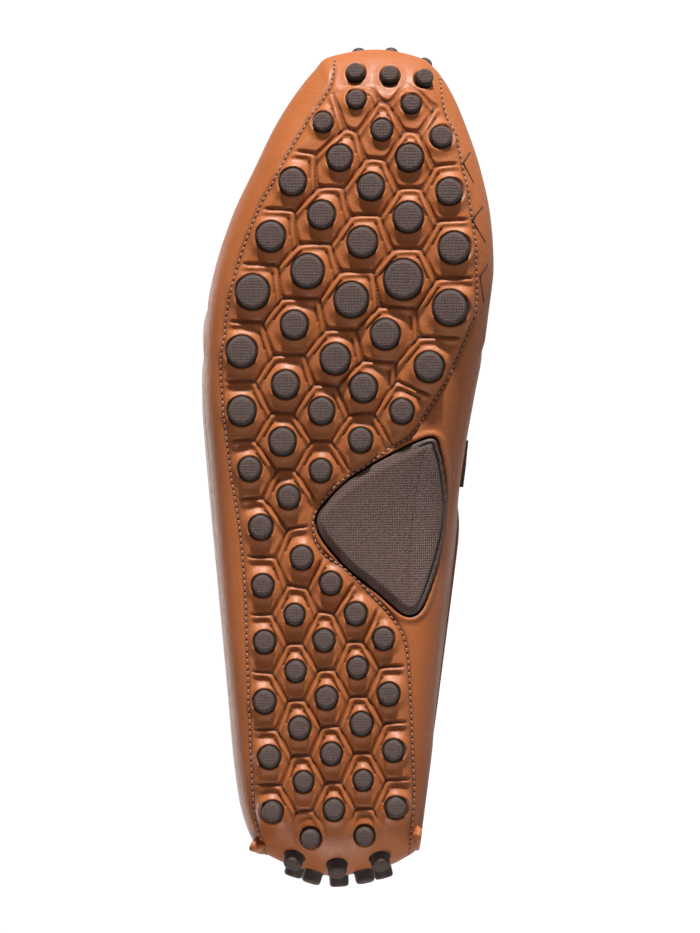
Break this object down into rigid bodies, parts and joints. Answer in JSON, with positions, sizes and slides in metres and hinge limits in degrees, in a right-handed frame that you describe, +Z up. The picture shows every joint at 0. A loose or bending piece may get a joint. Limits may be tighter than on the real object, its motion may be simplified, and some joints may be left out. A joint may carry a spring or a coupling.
{
  "type": "driving moccasin",
  "caption": "Slip-on leather driving moccasin, right shoe, with a studded rubber sole that shows through the wrapped leather, lying empty on its inner side.",
  "frame": {"origin": "middle of the bounding box, on the surface that the shoe lies on", "axes": "+X towards the toe, -Y the way the sole faces, +Z up from the surface that the shoe lies on"},
  "size_m": [0.2946, 0.0898, 0.0974],
  "materials": {
    "tan_leather": "smooth, waxed, low gloss",
    "strap_leather": "smooth, with dark painted edges",
    "taupe_rubber": "matt, finely netted",
    "pad_rubber": "matt",
    "sock_leather": "soft, dull"
  },
  "bodies": {
    "root": {"upper": "tan_leather", "apron": "tan_leather", "strap": "strap_leather", "heel_seam_medial": "tan_leather", "heel_seam_lateral": "tan_leather", "outsole": "taupe_rubber", "arch_pad": "pad_rubber", "insole": "sock_leather"}
  },
  "joints": []
}
